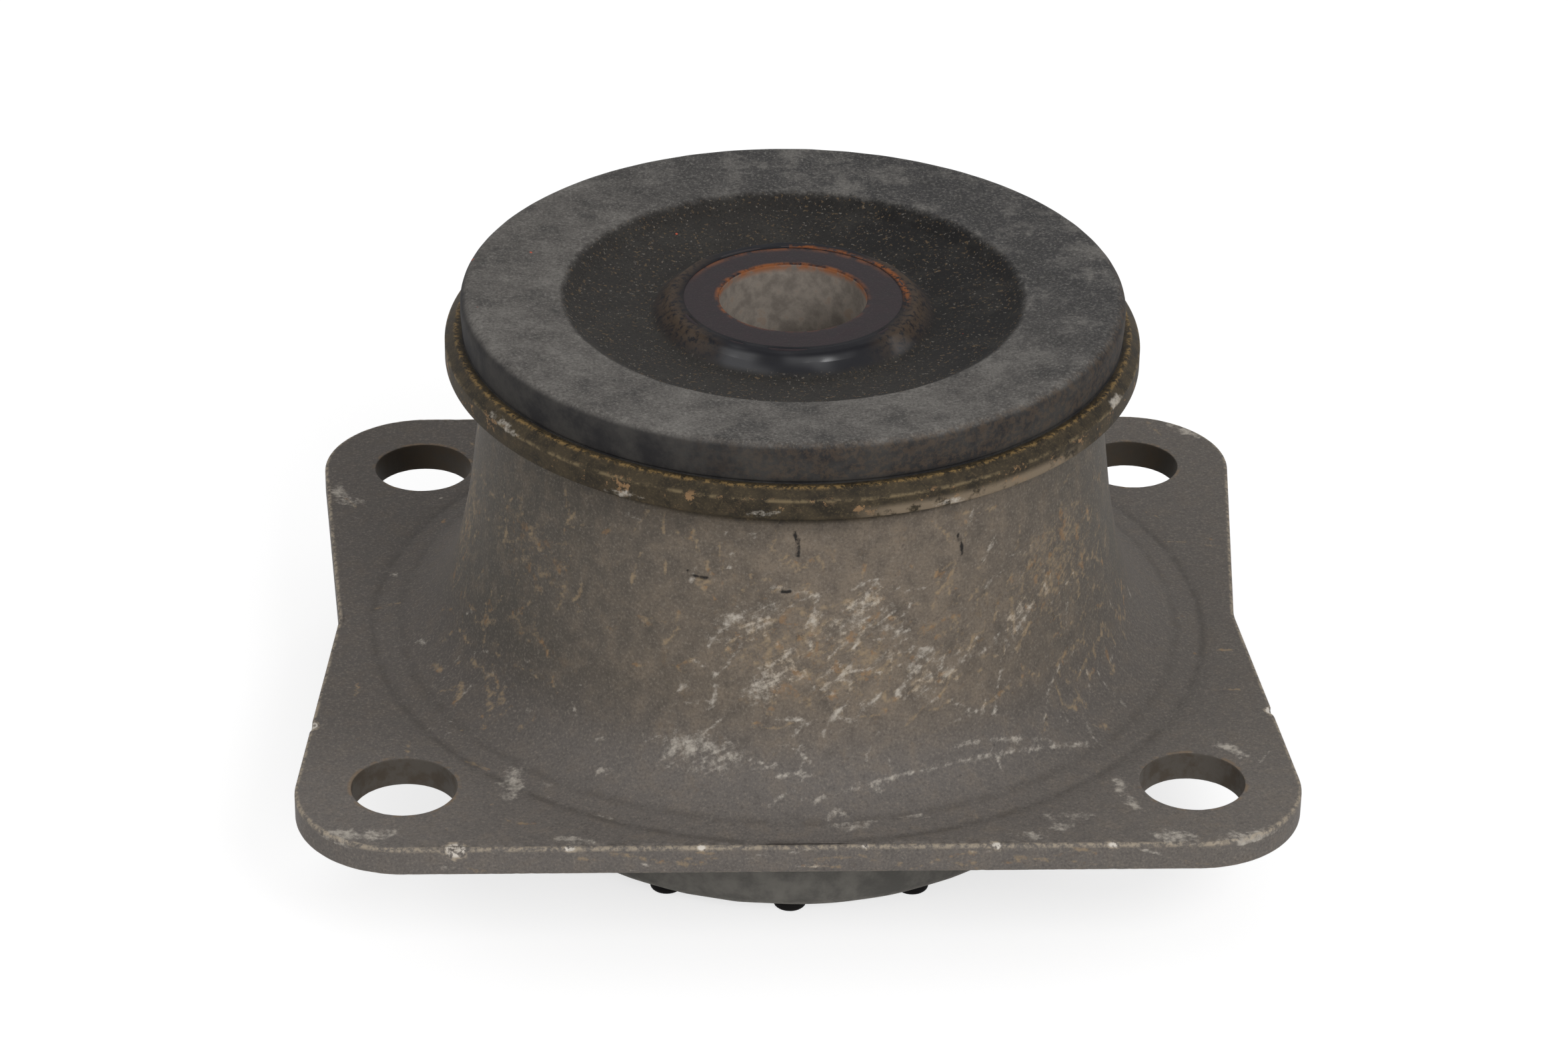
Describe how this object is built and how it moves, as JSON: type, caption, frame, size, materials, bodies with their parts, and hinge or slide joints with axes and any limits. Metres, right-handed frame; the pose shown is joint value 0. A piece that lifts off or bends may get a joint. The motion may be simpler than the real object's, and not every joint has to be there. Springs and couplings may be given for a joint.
{
  "type": "engine mount",
  "caption": "Centre-bonded engine mount: drawn steel housing with a four-hole flange, thick rubber element with a top disc, and a through-bored steel sleeve.",
  "frame": {"origin": "centre of the four-hole bolt pattern, on the underside of the flange", "axes": "+Z along the sleeve, from the flange towards the rubber disc; +X along the flange's longer side, the wider bolt spacing"},
  "size_m": [0.1404, 0.124, 0.0798],
  "materials": {
    "painted_steel": "matt brown-grey primer, scratched, with a little rust",
    "black_rubber": "matt, dusty",
    "sleeve_steel": "dark oxide, rust-brown at the bore"
  },
  "bodies": {
    "root": {"outer_housing": "painted_steel", "rubber_element": "black_rubber", "inner_sleeve": "sleeve_steel"}
  },
  "joints": []
}
